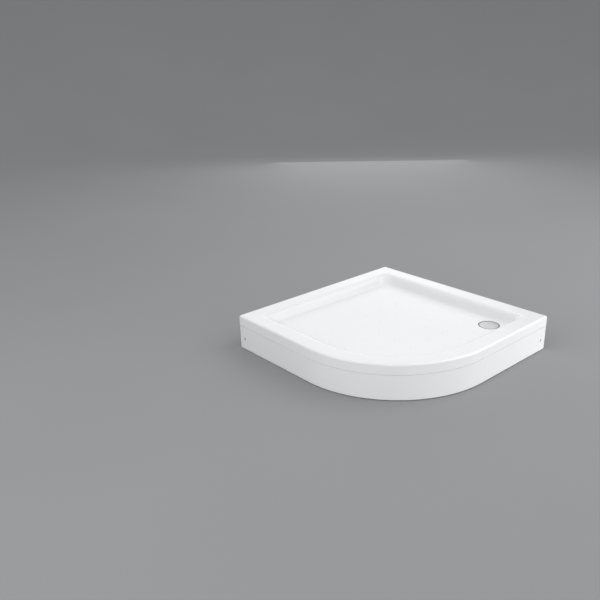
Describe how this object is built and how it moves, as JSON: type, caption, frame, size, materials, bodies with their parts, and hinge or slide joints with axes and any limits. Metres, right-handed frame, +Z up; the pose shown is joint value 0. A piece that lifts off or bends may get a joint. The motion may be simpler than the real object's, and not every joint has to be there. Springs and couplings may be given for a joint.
{
  "type": "shower tray",
  "caption": "Quadrant shower tray with a rounded front corner, apron panel, corner waste and trap, on adjustable feet.",
  "frame": {"origin": "on the floor, under the middle of the tray's square outline", "axes": "+Z up; the walls are at -X and +Y, and the rounded front corner faces +X and -Y"},
  "size_m": [0.9, 0.9, 0.148],
  "materials": {
    "white_acrylic": "polished cast acrylic sheet",
    "glass_fibre": "rough sprayed glass-fibre resin",
    "chipboard": "raw chipboard",
    "timber": "planed softwood",
    "zinc_steel": "zinc-plated sheet steel",
    "screw_steel": "zinc-plated",
    "satin_chrome": "satin",
    "polished_chrome": "polished",
    "black_rubber": "moulded",
    "white_plastic": "moulded polypropylene",
    "grey_plastic": "moulded polypropylene",
    "black_plastic": "moulded",
    "cap_plastic": "moulded"
  },
  "bodies": {
    "tray": {"tray_shell": "white_acrylic", "glass_fibre_layer": "glass_fibre", "base_board": "chipboard", "rim_batten_back": "timber", "rim_batten_left": "timber", "rim_batten_right": "timber", "rim_batten_front": "timber", "rim_batten_curve": "timber", "rail_back": "zinc_steel", "rail_middle": "zinc_steel", "rail_front": "zinc_steel", "rail_screws": "screw_steel", "weld_nuts": "screw_steel", "lock_nuts": "screw_steel", "waste_flange": "polished_chrome", "upper_gasket": "black_rubber", "lower_gasket": "black_rubber", "flange_screws": "polished_chrome", "trap_body": "white_plastic", "outlet_pipe": "white_plastic", "outlet_seal": "black_rubber", "outlet_nut": "white_plastic", "front_panel": "white_acrylic", "panel_clips": "zinc_steel", "clip_screws": "screw_steel", "panel_bracket_right": "zinc_steel", "panel_bracket_left": "zinc_steel", "bracket_screws": "screw_steel", "panel_screws": "screw_steel"},
    "trap_insert": {"dip_tube": "grey_plastic", "dip_tube_seal": "black_rubber"},
    "cover": {"drain_cover": "satin_chrome"},
    "cap_right": {"screw_cap_right": "cap_plastic"},
    "cap_left": {"screw_cap_left": "cap_plastic"},
    "pad_1": {"foot_pad_1": "black_plastic"},
    "stud_1": {"foot_stud_1": "screw_steel"},
    "pad_2": {"foot_pad_2": "black_plastic"},
    "stud_2": {"foot_stud_2": "screw_steel"},
    "pad_3": {"foot_pad_3": "black_plastic"},
    "stud_3": {"foot_stud_3": "screw_steel"},
    "pad_4": {"foot_pad_4": "black_plastic"},
    "stud_4": {"foot_stud_4": "screw_steel"},
    "pad_5": {"foot_pad_5": "black_plastic"},
    "stud_5": {"foot_stud_5": "screw_steel"},
    "pad_6": {"foot_pad_6": "black_plastic"},
    "stud_6": {"foot_stud_6": "screw_steel"}
  },
  "joints": [
    {"name": "foot_1_height", "type": "slide", "parent": "tray", "child": "pad_1", "axis": [0, 0, 1], "range_m": [-0.015, 0.006]},
    {"name": "foot_1_turn", "type": "hinge", "parent": "pad_1", "child": "stud_1", "pos_m": [-0.36, 0.301, 0.05], "axis": [0, 0, 1], "range_deg": [-3086, 1235]},
    {"name": "foot_2_height", "type": "slide", "parent": "tray", "child": "pad_2", "axis": [0, 0, 1], "range_m": [-0.015, 0.006]},
    {"name": "foot_2_turn", "type": "hinge", "parent": "pad_2", "child": "stud_2", "pos_m": [0.165, 0.301, 0.05], "axis": [0, 0, 1], "range_deg": [-3086, 1235]},
    {"name": "foot_3_height", "type": "slide", "parent": "tray", "child": "pad_3", "axis": [0, 0, 1], "range_m": [-0.015, 0.006]},
    {"name": "foot_3_turn", "type": "hinge", "parent": "pad_3", "child": "stud_3", "pos_m": [-0.36, 0.06, 0.05], "axis": [0, 0, 1], "range_deg": [-3086, 1235]},
    {"name": "foot_4_height", "type": "slide", "parent": "tray", "child": "pad_4", "axis": [0, 0, 1], "range_m": [-0.015, 0.006]},
    {"name": "foot_4_turn", "type": "hinge", "parent": "pad_4", "child": "stud_4", "pos_m": [0.36, 0.06, 0.05], "axis": [0, 0, 1], "range_deg": [-3086, 1235]},
    {"name": "foot_5_height", "type": "slide", "parent": "tray", "child": "pad_5", "axis": [0, 0, 1], "range_m": [-0.015, 0.006]},
    {"name": "foot_5_turn", "type": "hinge", "parent": "pad_5", "child": "stud_5", "pos_m": [-0.36, -0.301, 0.05], "axis": [0, 0, 1], "range_deg": [-3086, 1235]},
    {"name": "foot_6_height", "type": "slide", "parent": "tray", "child": "pad_6", "axis": [0, 0, 1], "range_m": [-0.015, 0.006]},
    {"name": "foot_6_turn", "type": "hinge", "parent": "pad_6", "child": "stud_6", "pos_m": [0.18691, -0.301, 0.05], "axis": [0, 0, 1], "range_deg": [-3086, 1235]},
    {"name": "trap_insert_lift", "type": "slide", "parent": "tray", "child": "trap_insert", "axis": [0, 0, 1], "range_m": [0, 0.1]},
    {"name": "cover_lift", "type": "slide", "parent": "trap_insert", "child": "cover", "axis": [0, 0, 1], "range_m": [0, 0.05]},
    {"name": "cap_right_pull", "type": "slide", "parent": "tray", "child": "cap_right", "axis": [1, 0, 0], "range_m": [0, 0.02]},
    {"name": "cap_left_pull", "type": "slide", "parent": "tray", "child": "cap_left", "axis": [0, -1, 0], "range_m": [0, 0.02]}
  ],
  "couplings": [
    {"joint": "foot_1_turn", "follows": "foot_1_height", "rad_per_m": 3590.4},
    {"joint": "foot_2_turn", "follows": "foot_2_height", "rad_per_m": 3590.4},
    {"joint": "foot_3_turn", "follows": "foot_3_height", "rad_per_m": 3590.4},
    {"joint": "foot_4_turn", "follows": "foot_4_height", "rad_per_m": 3590.4},
    {"joint": "foot_5_turn", "follows": "foot_5_height", "rad_per_m": 3590.4},
    {"joint": "foot_6_turn", "follows": "foot_6_height", "rad_per_m": 3590.4}
  ]
}
